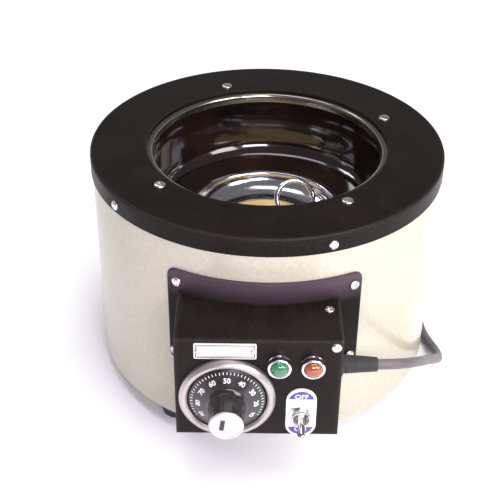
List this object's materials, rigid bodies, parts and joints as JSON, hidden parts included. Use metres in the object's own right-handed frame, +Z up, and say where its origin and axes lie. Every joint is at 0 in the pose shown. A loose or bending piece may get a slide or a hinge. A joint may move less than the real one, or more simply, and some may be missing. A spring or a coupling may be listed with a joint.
{
  "type": "vibratory rock tumbler",
  "caption": "Bowl-type vibratory tumbler: enamelled drum, sprung dark bowl with motor below, black cover, and a front control box with dial, lamps and toggle switch.",
  "frame": {"origin": "on the floor under the middle of the object's own box, the free lead left out", "axes": "+Z up along the drum's axis direction, -Y towards the control box at the front, +X to the right seen from the front"},
  "size_m": [0.2437, 0.4057, 0.1649],
  "materials": {
    "drum_enamel": "smooth cream stove enamel",
    "black_paint": "fine-textured black powder coat",
    "zinc_steel": "zinc-plated steel",
    "polished_steel": "polished stainless",
    "bright_chrome": "bright chrome plate",
    "bright_screws": "nickel-plated screws",
    "black_rubber": "moulded rubber",
    "bowl_resin": "glossy dark brown-black liner",
    "amber_pad": "glossy amber polyurethane",
    "brass": "turned brass",
    "plate_metal": "satin anodised plate",
    "knob_black": "black thermoset, white figures",
    "green_lens": "clear green lens",
    "orange_lens": "clear orange-red lens",
    "lamp_body": "off-white plastic",
    "switch_plate": "white plate with blue fields",
    "switch_body": "brown phenolic",
    "wire_skin": "blue insulation",
    "lead_rubber": "dark grey flexible lead",
    "tie_fabric": "woven hook-and-loop strap",
    "spring_steel": "bright spring wire",
    "cast_aluminium": "die-cast, lightly blasted",
    "laminated_steel": "stacked laminations",
    "copper_wire": "varnished copper turns",
    "ground_steel": "ground steel",
    "cast_weight": "rough cast iron"
  },
  "bodies": {
    "housing": {"drum_shell": "drum_enamel", "base_plate": "zinc_steel", "rubber_feet": "black_rubber", "base_screws": "zinc_steel", "hex_nuts": "zinc_steel", "top_cover": "black_paint", "skirt_screws": "bright_screws", "trim_ring": "polished_steel", "trim_screws": "bright_screws", "splash_seal": "black_rubber", "saddle_plate": "black_paint", "saddle_screws": "bright_screws", "box_frame": "black_paint", "box_cover": "black_paint", "box_screws": "bright_screws", "nameplate": "plate_metal", "nameplate_rivets": "plate_metal", "dial_bezel": "bright_chrome", "regulator_body": "cast_aluminium", "panel_nuts": "bright_chrome", "lamp_bezels": "bright_chrome", "green_lens": "green_lens", "orange_lens": "orange_lens", "lamp_bodies": "lamp_body", "toggle_plate": "switch_plate", "toggle_body": "switch_body", "terminal_block": "lamp_body", "control_wiring": "wire_skin", "wire_grommet": "black_rubber", "cord_gland": "lead_rubber", "mains_cord": "lead_rubber", "cord_coil": "lead_rubber", "cord_tie": "tie_fabric", "mains_plug": "lead_rubber", "plug_pins": "brass", "spring_posts": "zinc_steel", "springs": "spring_steel"},
    "knob": {"regulator_shaft": "brass", "control_knob": "knob_black", "knob_cap": "plate_metal", "knob_screw": "ground_steel"},
    "lever": {"toggle_lever": "bright_chrome"},
    "bowl_unit": {"spring_cups": "zinc_steel", "spring_platform": "zinc_steel", "motor_top_bell": "cast_aluminium", "motor_bottom_bell": "cast_aluminium", "stator_core": "laminated_steel", "stator_windings": "copper_wire", "bearings": "ground_steel", "motor_screws": "zinc_steel", "bowl": "bowl_resin", "clamp_dish": "polished_steel", "clamp_bolt": "zinc_steel", "floor_pad": "amber_pad", "lift_button": "brass"},
    "rotor": {"motor_shaft": "ground_steel", "rotor_core": "laminated_steel", "eccentric_weight": "cast_weight"},
    "ring": {"lift_ring": "bright_chrome"}
  },
  "joints": [
    {"name": "bowl_bounce", "type": "slide", "parent": "housing", "child": "bowl_unit", "axis": [0, 0, 1], "range_m": [-0.002, 0.002], "stiffness_N_per_m": 16000, "springref_m": 0.0012, "deforming": ["springs"]},
    {"name": "motor_spin", "type": "hinge", "parent": "bowl_unit", "child": "rotor", "pos_m": [-0.00095, 0.0307, 0.05], "axis": [0, 0, 1], "continuous": true},
    {"name": "dial_turn", "type": "hinge", "parent": "housing", "child": "knob", "pos_m": [-0.02375, -0.1207, 0.0756], "axis": [0, -1, 0], "range_deg": [-120, 120]},
    {"name": "switch_flip", "type": "hinge", "parent": "housing", "child": "lever", "pos_m": [0.01995, -0.1223, 0.064], "axis": [-1, 0, 0], "range_deg": [0, 46]},
    {"name": "ring_swing", "type": "hinge", "parent": "bowl_unit", "child": "ring", "pos_m": [0.01905, 0.0307, 0.105], "axis": [1, 0, 0], "range_deg": [0, 132]}
  ]
}
